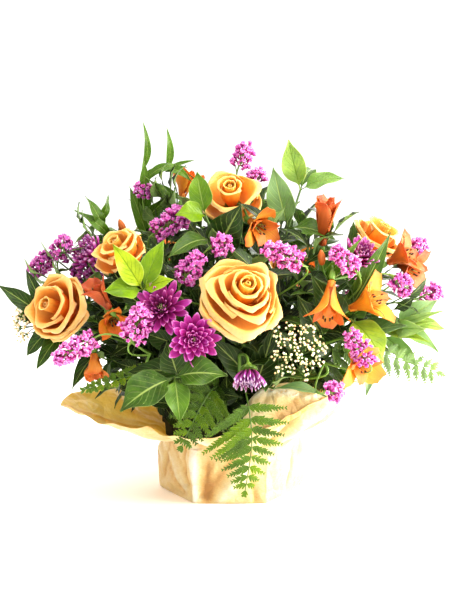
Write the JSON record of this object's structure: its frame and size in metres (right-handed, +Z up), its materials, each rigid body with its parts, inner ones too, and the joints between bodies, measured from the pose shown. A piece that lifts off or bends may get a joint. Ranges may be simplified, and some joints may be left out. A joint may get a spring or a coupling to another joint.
{
  "type": "mixed flower bouquet in a paper wrapper",
  "caption": "Mixed bouquet of roses, spray mums, alstroemeria, statice, rice flower, leaves and fern, standing in a pot of floral foam that a flared kraft paper wrapper hides",
  "frame": {"origin": "centre of the flat underside of the paper wrapper, on the surface that the arrangement stands on", "axes": "+Z is up, the front of the arrangement with the largest rose and the hanging fern faces -Y, and the width runs along X"},
  "size_m": [0.4452, 0.3765, 0.3721],
  "materials": {
    "paper": "matte",
    "pot": "satin",
    "foam": "matte",
    "rose": "satin",
    "mum": "satin",
    "alstroemeria": "satin",
    "statice": "matte",
    "rice": "matte",
    "stem": "satin",
    "leaf": "satin",
    "fern": "satin"
  },
  "bodies": {
    "root": {"paper_wrap": "paper", "pot": "pot", "floral_foam": "foam", "rose_front": "rose", "rose_left": "rose", "rose_upper_left": "rose", "rose_top": "rose", "rose_right": "rose", "rose_back_left": "rose", "rose_back_right": "rose", "rose_stem_front": "stem", "rose_stem_left": "stem", "rose_stem_upper_left": "stem", "rose_stem_top": "stem", "rose_stem_right": "stem", "rose_stem_back_left": "stem", "rose_stem_back_right": "stem", "mum_left_upper": "mum", "mum_left_lower": "mum", "mum_drooping": "mum", "mum_left_side": "mum", "mum_right_side": "mum", "mum_back": "mum", "mum_stem_left": "stem", "mum_stem_front": "stem", "mum_stem_right": "stem", "alstroemeria_right": "alstroemeria", "alstroemeria_right_hanging": "alstroemeria", "alstroemeria_right_high": "alstroemeria", "alstroemeria_upright": "alstroemeria", "alstroemeria_back_top": "alstroemeria", "alstroemeria_left": "alstroemeria", "alstroemeria_stem_right": "leaf", "alstroemeria_stem_top": "leaf", "alstroemeria_stem_tall_left": "leaf", "rice_flower_right": "rice", "rice_flower_left": "rice", "statice_front_left": "statice", "statice_upper_left": "statice", "statice_centre": "statice", "statice_centre_right": "statice", "statice_right": "statice", "statice_right_low": "statice", "statice_top": "statice", "statice_left_far": "statice", "statice_right_far": "statice", "statice_back": "statice", "leafy_stem_front_left": "leaf", "leafy_stem_lime_left": "leaf", "leafy_stem_top_right": "leaf", "leafy_stem_top_centre": "leaf", "leafy_stem_left": "leaf", "leafy_stem_right": "leaf", "leafy_stem_right_low": "leaf", "leafy_stem_front_centre": "leaf", "leafy_stem_back": "leaf", "fern_frond_front_hanging": "fern", "fern_frond_left": "fern", "fern_frond_right": "fern", "fern_frond_back": "fern"}
  },
  "joints": []
}
